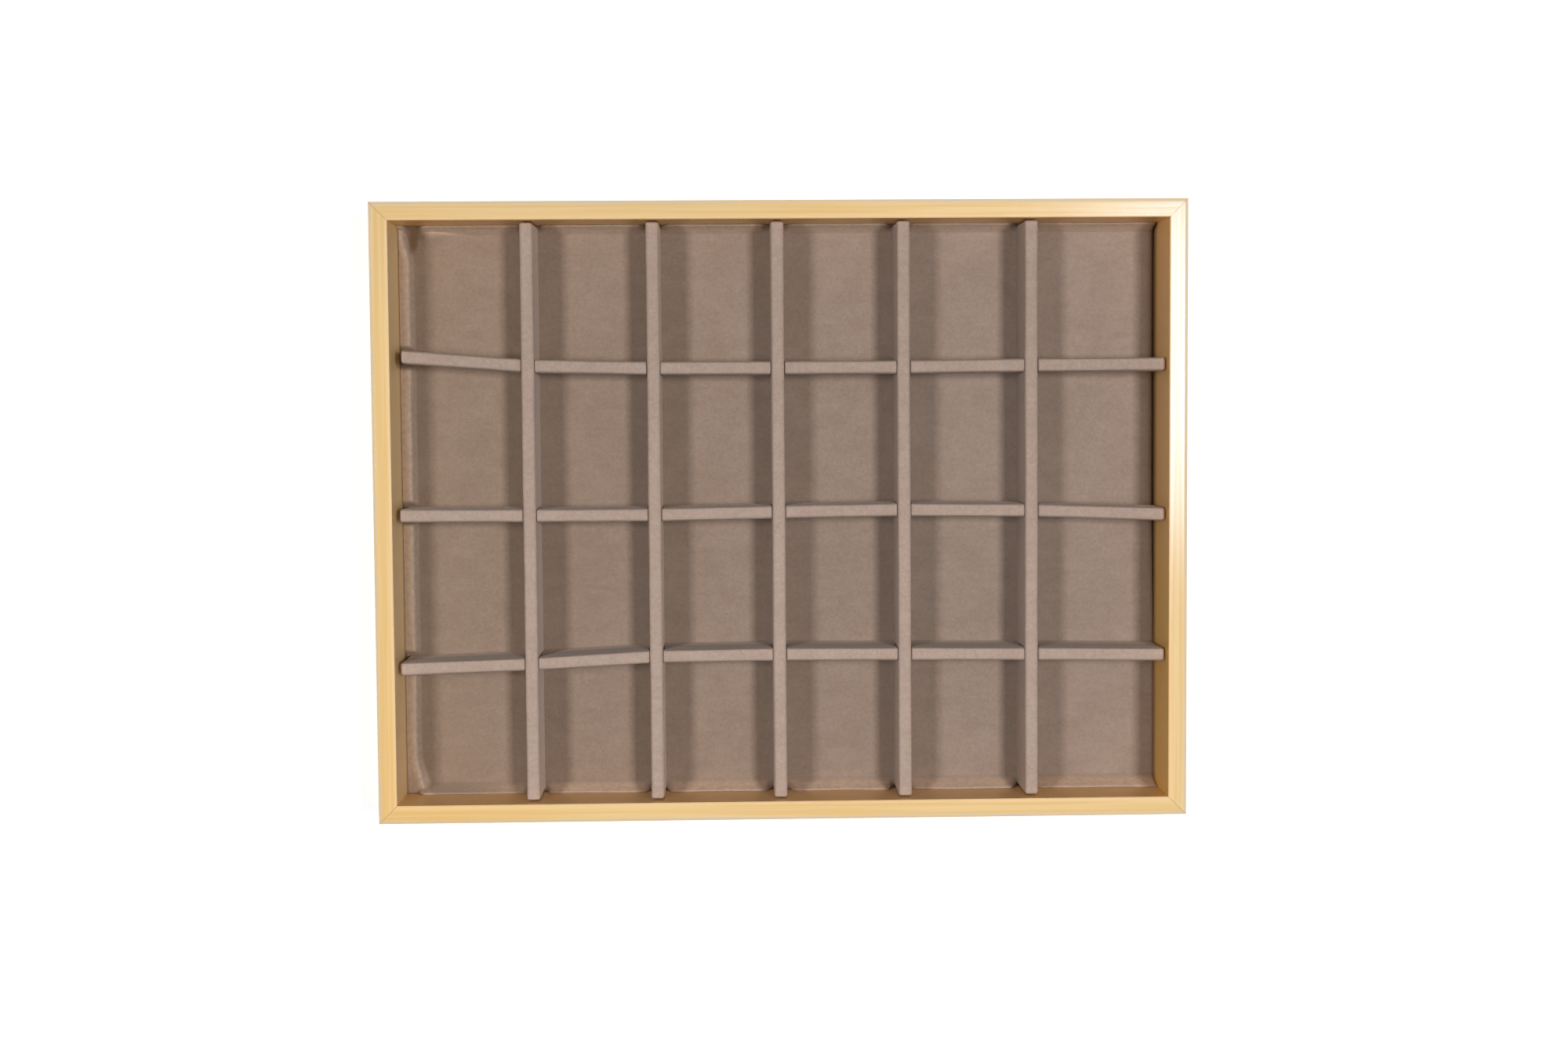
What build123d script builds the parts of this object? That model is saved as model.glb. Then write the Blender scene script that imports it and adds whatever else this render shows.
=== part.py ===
from build123d import *
import os

# Jewellery tray: a mitred frame of hollow gold rails around a lined floor, with a loose grid of
# wrapped dividers. Millimetres, +Z up. The origin is the middle of the underside, +X runs along
# the long side to the right and +Y runs away from the front.

# Frame
tray_length = 420.0
tray_depth = 320.0
tray_height = 48.0
rail_width = 9.6
rail_wall = 1.4
rail_lip = 3.0
rail_round = 1.8
rail_arris = 0.5
mitre_gap = 0.1
groove_depth = 3.2
groove_clearance = 0.2

# Corner keys inside the rails and their screws
key_clearance = 0.1
key_leg = 30.0
key_height = 24.0
screw_radius = 1.0
screw_head_radius = 1.9
screw_length = 8.0
screw_inset = 20.0
screw_clearance = 0.06
screw_sink = 0.15
screw_angle = 90.0
recess_width = 0.5
recess_length = 2.2
recess_depth = 0.6

# Base panel in the groove
panel_thickness = 3.0
panel_clearance = 0.4

# Floor: card with a suede face, pushed to the left
board_thickness = 2.0
suede_thickness = 1.0
floor_gap_left = 0.6
floor_gap_right = 1.3
floor_gap_front = 0.6
floor_gap_back = 0.6
board_inset = 0.5
hem_width = 4.4
hem_height = 4.6
front_hem_height = 7.5
back_hem_height = 5.0
hem_clearance = 0.6
hem_lean = 3.4
hem_lean_run = 14.0

# Dividers: card wrapped in suede, halved over each other
divider_drop = 7.0
divider_thickness = 6.8
wrap_thickness = 0.9
wrap_round = 1.6
slot_clearance = 0.5
slot_gap = 0.6
long_pitch = 65.0
long_shift = -1.1
long_end_gap = 0.7
cross_pitch = 74.6
cross_shift = 0.5
cross_gap_right = 0.5

# How far each long divider stands to the right of its even place, from left to right
long_strays = (0.4, 0.1, -0.6, -0.4, 1.0)

# The gap between each cross divider's left end and the wall
cross_gaps_left = {"front": 1.8, "middle": 2.9, "back": 4.8}

# The cross dividers bend at their slots. Each row says how far one strays towards the back at its
# left end, at the crossings from left to right, and at its right end.
cross_bends = {
    "front": (-6.2, -4.2, -0.9, -0.4, -0.8, -1.5, -2.5),
    "middle": (-1.2, -1.6, -1.7, -0.8, -0.1, -1.0, -3.6),
    "back": (6.2, 1.0, -0.5, -0.6, -0.7, -0.1, 0.0),
}

# Sizes that follow
inner_left = -tray_length / 2 + rail_width
inner_right = tray_length / 2 - rail_width
inner_front = -tray_depth / 2 + rail_width
inner_back = tray_depth / 2 - rail_width
key_thickness = rail_width - groove_depth - 2 * rail_wall - 2 * key_clearance
key_offset = rail_wall + key_clearance
screw_offset = key_offset + key_thickness / 2
key_bottom = rail_lip + key_clearance
board_bottom = rail_lip + panel_thickness
suede_bottom = board_bottom + board_thickness
floor_top = suede_bottom + suede_thickness
divider_height = tray_height - divider_drop - floor_top
board_height = divider_height - wrap_thickness
core_thickness = divider_thickness - 2 * wrap_thickness
slot_width = divider_thickness + 2 * slot_clearance
slot_middle = floor_top + divider_height / 2
slot_floor = slot_middle - slot_gap / 2
slot_ceiling = slot_middle + slot_gap / 2

long_middle_place = (len(long_strays) - 1) / 2
long_places = [
    long_shift + long_pitch * (place - long_middle_place) + stray for place, stray in enumerate(long_strays)
]
cross_places = {"front": cross_shift - cross_pitch, "middle": cross_shift, "back": cross_shift + cross_pitch}


def bent_line(row):
    """Points of one cross divider's centre line: its left end, each crossing and its right end."""
    along = [inner_left + cross_gaps_left[row], *long_places, inner_right - cross_gap_right]
    return [(x, cross_places[row] + stray) for x, stray in zip(along, cross_bends[row])]


def band(points, width):
    """The outline of a band of one width, measured along Y, about a line of points."""
    upper = [(x, y + width / 2) for x, y in points]
    lower = [(x, y - width / 2) for x, y in reversed(points)]
    return upper + lower


def shortened(points, amount):
    """The same line with an amount taken off each end."""
    (x0, y0), (x1, y1) = points[0], points[-1]
    return [(x0 + amount, y0), *points[1:-1], (x1 - amount, y1)]


def finish(piece, name):
    piece.part.label = name
    export_step(piece.part, f"parts/{name}.step")


os.makedirs("parts", exist_ok=True)

# The frame's corners in turn, with the way that each rail runs and the way to the tray's middle
corners = {
    "front": (Vector(-tray_length / 2, -tray_depth / 2), Vector(1, 0), Vector(0, 1), tray_length),
    "right": (Vector(tray_length / 2, -tray_depth / 2), Vector(0, 1), Vector(-1, 0), tray_depth),
    "back": (Vector(tray_length / 2, tray_depth / 2), Vector(-1, 0), Vector(0, -1), tray_length),
    "left": (Vector(-tray_length / 2, tray_depth / 2), Vector(0, -1), Vector(1, 0), tray_depth),
}

# Rails: one hollow section with a groove for the panel, mitred at both ends
screw_places = []
for side, (start, along, inward, length) in corners.items():
    end = start + along * length
    groove_top = rail_lip + panel_thickness + groove_clearance
    groove_back = rail_width - groove_depth
    with BuildPart() as rail:
        with BuildSketch(Plane(origin=start, x_dir=inward, z_dir=along)) as section:
            with BuildLine():
                Polyline(
                    (0, 0),
                    (rail_width, 0),
                    (rail_width, rail_lip),
                    (groove_back, rail_lip),
                    (groove_back, groove_top),
                    (rail_width, groove_top),
                    (rail_width, tray_height),
                    (0, tray_height),
                    close=True,
                )
            make_face()
            fillet(section.vertices().group_by(Axis.Y)[-1].sort_by(Axis.X)[0], rail_round)
            chamfer(section.vertices().group_by(Axis.Y)[-1].sort_by(Axis.X)[-1], rail_arris)
            with BuildLine():
                Polyline(
                    (rail_wall, rail_lip),
                    (groove_back - rail_wall, rail_lip),
                    (groove_back - rail_wall, groove_top + rail_wall),
                    (rail_width - rail_wall, groove_top + rail_wall),
                    (rail_width - rail_wall, tray_height - rail_wall),
                    (rail_wall, tray_height - rail_wall),
                    close=True,
                )
            make_face(mode=Mode.SUBTRACT)
        extrude(amount=length)
        mitre = along * mitre_gap / 2
        split(bisect_by=Plane(origin=start + mitre, z_dir=along - inward), keep=Keep.TOP)
        split(bisect_by=Plane(origin=end - mitre, z_dir=-along - inward), keep=Keep.TOP)
        for place in (start + along * screw_inset, end - along * screw_inset):
            place += inward * screw_offset
            screw_places.append((place.X, place.Y))
            with Locations(Plane(origin=place, z_dir=(0, 0, -1))):
                CounterSinkHole(
                    radius=screw_radius + screw_clearance,
                    counter_sink_radius=screw_head_radius + screw_clearance + screw_sink,
                    depth=key_bottom,
                    counter_sink_angle=screw_angle,
                )
    finish(rail, f"rail_{side}")

# Corner keys: an upright angle in each corner of the hollow rails, tapped for its two screws
for x_name, x_side in (("left", -1), ("right", 1)):
    for y_name, y_side in (("front", -1), ("back", 1)):
        x_out = x_side * (tray_length / 2 - key_offset)
        y_out = y_side * (tray_depth / 2 - key_offset)
        with BuildPart() as key:
            with BuildSketch(Plane.XY.offset(key_bottom)):
                with BuildLine():
                    Polyline(
                        (x_out, y_out),
                        (x_out - x_side * key_leg, y_out),
                        (x_out - x_side * key_leg, y_out - y_side * key_thickness),
                        (x_out - x_side * key_thickness, y_out - y_side * key_thickness),
                        (x_out - x_side * key_thickness, y_out - y_side * key_leg),
                        (x_out, y_out - y_side * key_leg),
                        close=True,
                    )
                make_face()
            extrude(amount=key_height)
            near = [(x, y) for x, y in screw_places if x * x_side > 0 and y * y_side > 0]
            with BuildSketch(Plane.XY.offset(key_bottom)):
                with Locations(*near):
                    Circle(screw_radius + screw_clearance)
            extrude(amount=screw_sink + screw_length, mode=Mode.SUBTRACT)
        finish(key, f"corner_key_{y_name}_{x_name}")

# Corner screws: countersunk heads just inside the underside, with a cross recess
head_height = screw_head_radius - screw_radius
with BuildPart() as screws:
    with Locations(*[(x, y, screw_sink) for x, y in screw_places]):
        Cone(
            screw_head_radius,
            screw_radius,
            head_height,
            align=(Align.CENTER, Align.CENTER, Align.MIN),
        )
        Cylinder(screw_radius, screw_length, align=(Align.CENTER, Align.CENTER, Align.MIN))
    with BuildSketch(Plane.XY.offset(screw_sink)):
        with Locations(*screw_places):
            Rectangle(recess_length, recess_width)
            Rectangle(recess_width, recess_length)
    extrude(amount=recess_depth, mode=Mode.SUBTRACT)
finish(screws, "corner_screws")

# Base panel, its edges in the groove all round
panel_reach = rail_width - groove_depth + panel_clearance
with BuildPart() as panel:
    with BuildSketch(Plane.XY.offset(rail_lip)):
        Rectangle(tray_length - 2 * panel_reach, tray_depth - 2 * panel_reach)
    extrude(amount=panel_thickness)
finish(panel, "base_panel")

# Floor card and the suede on it, which share their middle
floor_left = inner_left + floor_gap_left
floor_right = inner_right - floor_gap_right
floor_front = inner_front + floor_gap_front
floor_back = inner_back - floor_gap_back
floor_middle = ((floor_left + floor_right) / 2, (floor_front + floor_back) / 2)
floor_size = (floor_right - floor_left, floor_back - floor_front)
with BuildPart() as floor_board:
    with BuildSketch(Plane.XY.offset(board_bottom)):
        with Locations(floor_middle):
            Rectangle(floor_size[0] - 2 * board_inset, floor_size[1] - 2 * board_inset)
    extrude(amount=board_thickness)
finish(floor_board, "floor_board")

# The suede's edge curls up along the left wall and is turned up along the front and back walls. The
# dividers press it flat where they cross it. In the tray's front left corner the curl leans in.
room = divider_thickness / 2 + hem_clearance
lines = {row: bent_line(row) for row in ("front", "middle", "back")}
left_ends = [lines[row][0][1] for row in ("front", "middle", "back")]
hem_starts = [floor_front + hem_width + hem_clearance, *[y + room for y in left_ends]]
hem_stops = [*[y - room for y in left_ends], floor_back]
with BuildPart() as floor_suede:
    with BuildSketch(Plane.XY.offset(suede_bottom)):
        with Locations(floor_middle):
            Rectangle(*floor_size)
    extrude(amount=suede_thickness)
    with BuildSketch(Plane.XY.offset(floor_top)):
        for place, (start, stop) in enumerate(zip(hem_starts, hem_stops)):
            lean = hem_lean if place == 0 else 0
            with BuildLine():
                Polyline(
                    (floor_left + lean, start),
                    (floor_left + lean + hem_width, start),
                    (floor_left + hem_width, start + hem_lean_run),
                    (floor_left + hem_width, stop),
                    (floor_left, stop),
                    (floor_left, start + hem_lean_run),
                    close=True,
                )
            make_face()
    extrude(amount=hem_height)
    stops = [floor_left - room, *long_places, floor_right + room]
    for wall, inward, rise in ((floor_front, 1, front_hem_height), (floor_back, -1, back_hem_height)):
        for start, stop in zip(stops[:-1], stops[1:]):
            with BuildSketch(Plane.YZ.offset(start + room)):
                with BuildLine():
                    Polyline(
                        (wall, floor_top),
                        (wall + inward * hem_width, floor_top),
                        (wall + inward * suede_thickness, floor_top + rise),
                        (wall, floor_top + rise),
                        close=True,
                    )
                make_face()
            extrude(amount=stop - start - 2 * room)
finish(floor_suede, "floor_suede")

# Cross dividers: bent bands of card and their wraps, slotted from above for the long dividers. The
# wrap is turned in at each slot, so the card's slots are wider and deeper by its thickness.
for row, line in lines.items():
    with BuildPart() as board:
        with BuildSketch(Plane.XY.offset(floor_top)):
            with BuildLine():
                Polyline(*band(shortened(line, wrap_thickness), core_thickness), close=True)
            make_face()
        extrude(amount=board_height)
        with BuildSketch(Plane.XY.offset(slot_floor - wrap_thickness)):
            with Locations(*line[1:-1]):
                Rectangle(slot_width + 2 * wrap_thickness, 2 * divider_thickness)
        extrude(amount=divider_height, mode=Mode.SUBTRACT)
    finish(board, f"cross_board_{row}")
    with BuildPart() as cover:
        with BuildSketch(Plane.XY.offset(floor_top)):
            with BuildLine():
                Polyline(*band(line, divider_thickness), close=True)
            make_face()
        extrude(amount=divider_height)
        fillet(cover.edges().group_by(Axis.Z)[-1], wrap_round)
        with BuildSketch(Plane.XY.offset(slot_floor)):
            with Locations(*line[1:-1]):
                Rectangle(slot_width, 2 * divider_thickness)
        extrude(amount=divider_height, mode=Mode.SUBTRACT)
        add(board.part, mode=Mode.SUBTRACT)
    finish(cover, f"cross_cover_{row}")

# Long dividers: straight, slotted from below over the cross dividers, so their tops run through.
# Their wrap is turned in at the slots in the same way.
long_start = inner_front + long_end_gap
long_end = inner_back - long_end_gap
long_length = long_end - long_start
long_middle = (long_start + long_end) / 2
for i, x in enumerate(long_places):
    crossings = [lines[row][i + 1] for row in ("front", "middle", "back")]
    with BuildPart() as board:
        with BuildSketch(Plane.XY.offset(floor_top)):
            with Locations((x, long_middle)):
                Rectangle(core_thickness, long_length - 2 * wrap_thickness)
        extrude(amount=board_height)
        with BuildSketch(Plane.XY.offset(floor_top)):
            with Locations(*crossings):
                Rectangle(2 * divider_thickness, slot_width + 2 * wrap_thickness)
        extrude(amount=slot_ceiling + wrap_thickness - floor_top, mode=Mode.SUBTRACT)
    finish(board, f"long_board_{i + 1}")
    with BuildPart() as cover:
        with BuildSketch(Plane.XY.offset(floor_top)):
            with Locations((x, long_middle)):
                Rectangle(divider_thickness, long_length)
        extrude(amount=divider_height)
        fillet(cover.edges().group_by(Axis.Z)[-1], wrap_round)
        with BuildSketch(Plane.XY.offset(floor_top)):
            with Locations(*crossings):
                Rectangle(2 * divider_thickness, slot_width)
        extrude(amount=slot_ceiling - floor_top, mode=Mode.SUBTRACT)
        add(board.part, mode=Mode.SUBTRACT)
    finish(cover, f"long_cover_{i + 1}")
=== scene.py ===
from math import atan2, ceil, radians

import bmesh
import bpy
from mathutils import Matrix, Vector, noise


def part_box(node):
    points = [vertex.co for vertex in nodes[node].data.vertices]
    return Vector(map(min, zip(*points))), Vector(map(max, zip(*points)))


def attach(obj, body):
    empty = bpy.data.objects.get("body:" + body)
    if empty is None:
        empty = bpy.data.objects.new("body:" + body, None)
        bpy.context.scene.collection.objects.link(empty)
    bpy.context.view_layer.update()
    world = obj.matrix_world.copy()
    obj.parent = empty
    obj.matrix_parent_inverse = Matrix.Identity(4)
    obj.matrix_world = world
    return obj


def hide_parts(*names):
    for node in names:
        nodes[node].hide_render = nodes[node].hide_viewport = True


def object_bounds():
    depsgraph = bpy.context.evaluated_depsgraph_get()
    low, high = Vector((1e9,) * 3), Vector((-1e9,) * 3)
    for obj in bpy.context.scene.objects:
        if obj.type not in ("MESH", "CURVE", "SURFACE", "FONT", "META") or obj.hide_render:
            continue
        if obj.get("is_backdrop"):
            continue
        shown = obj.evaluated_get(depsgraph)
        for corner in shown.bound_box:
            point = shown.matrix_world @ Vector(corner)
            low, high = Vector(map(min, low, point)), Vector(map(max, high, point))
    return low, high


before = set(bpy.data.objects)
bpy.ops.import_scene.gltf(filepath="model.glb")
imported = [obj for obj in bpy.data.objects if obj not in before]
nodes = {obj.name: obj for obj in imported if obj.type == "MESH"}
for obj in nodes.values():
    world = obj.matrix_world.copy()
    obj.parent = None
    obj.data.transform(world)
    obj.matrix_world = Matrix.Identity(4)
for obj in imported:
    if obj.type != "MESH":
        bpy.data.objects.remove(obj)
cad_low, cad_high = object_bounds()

scene = bpy.context.scene


# Camera
# The picture is taken from almost straight above the back half of the tray, with a normal lens.
# The camera's place in metres and turn in degrees come from a fit to the corners of the frame, the
# foot of the walls and the tops of the dividers.
camera_place = (-0.0284, 0.0547, 1.098)
camera_turn = (-3.16, -1.61, -0.41)
camera_lens = 46.87
camera_sensor = 36.0
camera_data = bpy.data.cameras.new("photo_camera")
camera_data.lens = camera_lens
camera_data.sensor_width = camera_sensor
camera = bpy.data.objects.new("photo_camera", camera_data)
camera.location = camera_place
camera.rotation_euler = [radians(turn) for turn in camera_turn]
scene.collection.objects.link(camera)
scene.camera = camera


# Studio light
# Two softboxes stand left and right of the table at different heights, so each upright throws two
# soft shadows on the floor, and a third lights the underside. In the metal the room is white, with
# a cool bright patch at the right, which whitens the right rail, and a warm front left corner.
soft_boxes = {
    "softbox_right": {"place": (0.715, 0.105, 2.15), "size": (0.31, 0.42), "power": 28.6},
    "softbox_left": {"place": (-0.862, 0.10, 1.65), "size": (0.25, 0.40), "power": 15.2},
    "softbox_below": {"place": (0.0, 0.0, -1.2), "size": (0.36, 0.28), "power": 12.0},
}
for name, box in soft_boxes.items():
    lamp = bpy.data.lights.new(name, "AREA")
    lamp.shape = "RECTANGLE"
    lamp.size, lamp.size_y = box["size"]
    lamp.energy = box["power"]
    lamp_object = bpy.data.objects.new(name, lamp)
    x, y, z = box["place"]
    lamp_object.location = box["place"]
    lamp_object.rotation_euler = (-atan2(y, z), atan2(x, abs(z)), 0)
    lamp_object.visible_glossy = False
    scene.collection.objects.link(lamp_object)


def place(tree, kind, inputs=None, **settings):
    """Adds a node. Its inputs are values or the outputs of other nodes."""
    node = tree.nodes.new(kind)
    for name, value in settings.items():
        setattr(node, name, value)
    for name, value in (inputs or {}).items():
        socket = node.inputs[name]
        if isinstance(value, bpy.types.NodeSocket):
            tree.links.new(value, socket)
        elif socket.type == "RGBA":
            socket.default_value = (*value, 1.0)
        else:
            socket.default_value = value
    return node


def math_node(tree, operation, *values, clamp=False):
    """The result of one sum, product or other plain operation."""
    node = place(tree, "ShaderNodeMath", dict(enumerate(values)), operation=operation, use_clamp=clamp)
    return node.outputs[0]


def product(tree, first, *others):
    """Values multiplied with each other."""
    for value in others:
        first = math_node(tree, "MULTIPLY", first, value)
    return first


def map_range(tree, value, low, high, to_low=0.0, to_high=1.0, smooth=True):
    """Turns a value from one range to another, held at both ends."""
    kind = "SMOOTHSTEP" if smooth else "LINEAR"
    inputs = {0: value, 1: low, 2: high, 3: to_low, 4: to_high}
    return place(tree, "ShaderNodeMapRange", inputs, interpolation_type=kind).outputs[0]


def blend_colour(tree, factor, first, second, blend_type="MIX"):
    """Mixes two colours."""
    inputs = {0: factor, 6: first, 7: second}
    return place(tree, "ShaderNodeMix", inputs, data_type="RGBA", blend_type=blend_type).outputs[2]


def blend_shader(tree, factor, first, second):
    """Mixes two shaders."""
    return place(tree, "ShaderNodeMixShader", {0: factor, 1: first, 2: second}).outputs[0]


def coordinates(tree, kind):
    """The place or direction of each point, as the named output gives it."""
    return place(tree, "ShaderNodeTexCoord").outputs[kind]


def separated(tree, vector):
    """The three parts of a place or direction."""
    return place(tree, "ShaderNodeSeparateXYZ", {0: vector}).outputs


def seen_directly(tree):
    """1 where a ray comes from the camera, a mirror or clear glass, and 0 for plain light."""
    path = place(tree, "ShaderNodeLightPath").outputs
    mirrored = math_node(tree, "MAXIMUM", path["Is Glossy Ray"], path["Is Transmission Ray"])
    return math_node(tree, "MAXIMUM", path["Is Camera Ray"], mirrored)


white = (1, 1, 1)
room_light = 0.035
lowest_rise = 0.05
patch_light = (0.78, 1.38, 3.9)
patch_left = (0.160, 0.214)
patch_right = (0.34, 0.40)
patch_front = (-0.085, -0.028)
patch_back = (0.080, 0.125)
warm_light = (1.0, 0.91, 0.76)
warm_left = (-0.03, -0.15)
warm_front = (-0.115, -0.145)
behind_light = 0.87
behind_from = (0.03, 0.09)
behind_right = (-0.05, 0.15)
world = bpy.data.worlds.new("white_room")
scene.world = world
world.use_nodes = True
tree = world.node_tree
tree.nodes.clear()
way = separated(tree, coordinates(tree, "Generated"))
upwards = math_node(tree, "MAXIMUM", way[2], lowest_rise)
aside = math_node(tree, "DIVIDE", way[0], upwards)
back = math_node(tree, "DIVIDE", way[1], upwards)
mirrored = place(tree, "ShaderNodeLightPath").outputs["Is Glossy Ray"]
patch = product(
    tree,
    map_range(tree, aside, *patch_left),
    map_range(tree, aside, *patch_right, 1, 0),
    map_range(tree, back, *patch_front),
    map_range(tree, back, *patch_back, 1, 0),
    mirrored,
)
warm = product(tree, map_range(tree, back, *warm_front), map_range(tree, aside, *warm_left), mirrored)
behind = product(
    tree, map_range(tree, back, *behind_from), map_range(tree, aside, *behind_right, 1, 0), mirrored
)
bright = blend_colour(tree, patch, white, patch_light, blend_type="ADD")
bright = blend_colour(tree, warm, bright, warm_light, blend_type="MULTIPLY")
level = map_range(tree, behind, 0, 1, 1, behind_light)
lit_room = place(tree, "ShaderNodeBackground", {"Color": white, "Strength": room_light}).outputs[0]
seen_room = place(tree, "ShaderNodeBackground", {"Color": bright, "Strength": level}).outputs[0]
room = blend_shader(tree, seen_directly(tree), lit_room, seen_room)
place(tree, "ShaderNodeOutputWorld", {"Surface": room})
scene.view_settings.view_transform = "Standard"


# Table top
# A white sheet of paper under the tray, lit to white. It keeps a faint shadow where the tray
# touches it. It is open under the tray and clear from below, so that the underside shows.
table_size = 3.0
table_paper = (0.5, 0.5, 0.5)
table_glow = 0.72
table_fade = (0.7, 1.9)
table_drop = 0.0001
table_overlap = 0.0005
table_opening = (cad_high.x - table_overlap, cad_high.y - table_overlap)
table_mesh = bpy.data.meshes.new("table_top")
corners = [
    (x * half_x, y * half_y, -table_drop)
    for half_x, half_y in ((table_size, table_size), table_opening)
    for x, y in ((-1, -1), (1, -1), (1, 1), (-1, 1))
]
table_mesh.from_pydata(corners, [], [(0, 1, 5, 4), (1, 2, 6, 5), (2, 3, 7, 6), (3, 0, 4, 7)])
table_top = bpy.data.objects.new("table_top", table_mesh)
scene.collection.objects.link(table_top)
paper = bpy.data.materials.new("white_paper")
paper.use_nodes = True
tree = paper.node_tree
tree.nodes.clear()
far = place(tree, "ShaderNodeVectorMath", {0: coordinates(tree, "Object")}, operation="LENGTH")
shine = map_range(tree, far.outputs["Value"], *table_fade, table_glow, 1.0)
glow = place(tree, "ShaderNodeEmission", {"Color": white, "Strength": shine}).outputs[0]
dark = place(tree, "ShaderNodeEmission", {"Color": (0, 0, 0), "Strength": 0.0}).outputs[0]
matt = place(tree, "ShaderNodeBsdfDiffuse", {"Color": table_paper}).outputs[0]
seen_glow = blend_shader(tree, seen_directly(tree), dark, glow)
lit_paper = place(tree, "ShaderNodeAddShader", {0: matt, 1: seen_glow}).outputs[0]
clear = place(tree, "ShaderNodeBsdfTransparent").outputs[0]
under = place(tree, "ShaderNodeNewGeometry").outputs["Backfacing"]
place(tree, "ShaderNodeOutputMaterial", {"Surface": blend_shader(tree, under, lit_paper, clear)})
table_mesh.materials.append(paper)
table_top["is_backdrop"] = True


# Rails
# Four lengths of one drawn aluminium section, anodised gold and mitred at the corners. Their tops
# are polished and their sides satin. The rounded outer top edge is rougher and has a painted grey
# reflection, the inner top edge a painted highlight, and the inner faces painted light and shade.
def total(tree, first, *others):
    """Values added up."""
    for value in others:
        first = math_node(tree, "ADD", first, value)
    return first


def blend_value(tree, factor, first, second):
    """Mixes two plain values."""
    return place(tree, "ShaderNodeMix", {0: factor, 2: first, 3: second}).outputs[0]


def noise_node(tree, vector, scale, detail=2.0, roughness=0.5, distortion=0.0):
    """Plain noise from 0 to 1 about a half, with its scale in waves to the metre."""
    inputs = {"Vector": vector, "Scale": scale, "Detail": detail, "Roughness": roughness}
    inputs["Distortion"] = distortion
    return place(tree, "ShaderNodeTexNoise", inputs).outputs[0]


def mapped(tree, vector, turn=0.0, scale=(1, 1, 1)):
    """A place with its axes scaled and then turned about the upright one."""
    inputs = {"Vector": vector, "Rotation": (0, 0, turn), "Scale": scale}
    return place(tree, "ShaderNodeMapping", inputs).outputs[0]


def stretched(tree, vector, scale):
    """A place multiplied axis by axis with a scale that may vary."""
    return place(tree, "ShaderNodeVectorMath", {0: vector, 1: scale}, operation="MULTIPLY").outputs[0]


def bumped(tree, height, strength, depth):
    """The normal of a surface with fine relief on it."""
    inputs = {"Strength": strength, "Distance": depth, "Height": height}
    return place(tree, "ShaderNodeBump", inputs).outputs[0]


def shader_group(name, inputs, outputs):
    """A new node group: its tree, its input sockets and its output node."""
    group = bpy.data.node_groups.new(name, "ShaderNodeTree")
    for label, (kind, value) in inputs.items():
        socket = group.interface.new_socket(label, in_out="INPUT", socket_type=f"NodeSocket{kind}")
        if value is not None:
            socket.default_value = (*value, 1.0) if kind == "Color" else value
    for label, kind in outputs.items():
        group.interface.new_socket(label, in_out="OUTPUT", socket_type=f"NodeSocket{kind}")
    start = group.nodes.new("NodeGroupInput")
    end = group.nodes.new("NodeGroupOutput")
    return group, start.outputs, end


def feed(group, end, values):
    """Connects values to the outputs of a group."""
    for label, value in values.items():
        group.links.new(value, end.inputs[label])


def use_group(tree, group, inputs):
    """Places a group in a material and gives its outputs."""
    return place(tree, "ShaderNodeGroup", inputs, node_tree=group).outputs


def new_material(name):
    """A material with its node tree, its shader and the place of each point in the tray."""
    material = bpy.data.materials.new(name)
    material.use_nodes = True
    tree = material.node_tree
    shader = tree.nodes["Principled BSDF"]
    return material, tree, shader, coordinates(tree, "Object")


def finish_material(tree, shader, sockets, **constants):
    """Connects the changing sockets of a shader and sets its plain ones."""
    for label, value in sockets.items():
        tree.links.new(value, shader.inputs[label])
    for label, value in constants.items():
        shader.inputs[label.replace("_", " ")].default_value = value


# drawn metal: fine lines along the first axis, broader tone streaks and a few rubbed patches
noise_span = (0.3, 0.7)
cloud_span = (0.35, 0.65)
rub_span = (0.5, 0.72)
streaks_per_line = (0.35, 0.16, 0.16)
drawn_metal, start, end = shader_group(
    "drawn_metal",
    {"Position": ("Vector", None), "Line Width": ("Float", 0.0003), "Line Length": ("Float", 0.04)},
    {"Lines": "Float", "Streaks": "Float", "Rubbing": "Float"},
)
tree = drawn_metal
across = math_node(tree, "DIVIDE", 1.0, start["Line Width"])
lengthwise = math_node(tree, "DIVIDE", 1.0, start["Line Length"])
line_scale = place(tree, "ShaderNodeCombineXYZ", {0: lengthwise, 1: across, 2: across}).outputs[0]
line_place = stretched(tree, start["Position"], line_scale)
streak_place = stretched(tree, line_place, streaks_per_line)
rub_noise = noise_node(tree, start["Position"], 28.0, detail=4.0, roughness=0.6, distortion=0.6)
feed(drawn_metal, end, {
    "Lines": noise_node(tree, line_place, 1.0, detail=2.0),
    "Streaks": noise_node(tree, streak_place, 1.0, detail=1.0),
    "Rubbing": map_range(tree, rub_noise, *rub_span),
})

# rail seam and painted light: the joint line of the mitres, a painted grey reflection on the rougher
# outer top edge, a painted highlight on the inner top edge and painted shade at the inner foot
rail_low, rail_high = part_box("rail_front")
side_low, side_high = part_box("rail_left")
frame_half_length = -side_low.x
frame_half_depth = -rail_low.y
frame_height = rail_high.z
rail_width = rail_high.y - rail_low.y
outer_edge_band = (0.0008, 0.0026)
inner_highlight_band = (0.0, 0.0022)
least_edge_share = 0.55
seam_width = 0.00016
seam_core = 0.4 * seam_width
foot_height = (0.008, 0.019)
foot_depth = (0.5 * rail_width, 0.8 * rail_width)
rail_seam_and_painted_light, start, end = shader_group(
    "rail_seam_and_painted_light",
    {"Position": ("Vector", None)},
    {"Outer Edge": "Float", "Inner Edge": "Float", "Seam": "Float", "Inner Foot": "Float"},
)
tree = rail_seam_and_painted_light
where = separated(tree, start["Position"])
from_end = math_node(tree, "SUBTRACT", frame_half_length, math_node(tree, "ABSOLUTE", where[0]))
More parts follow.
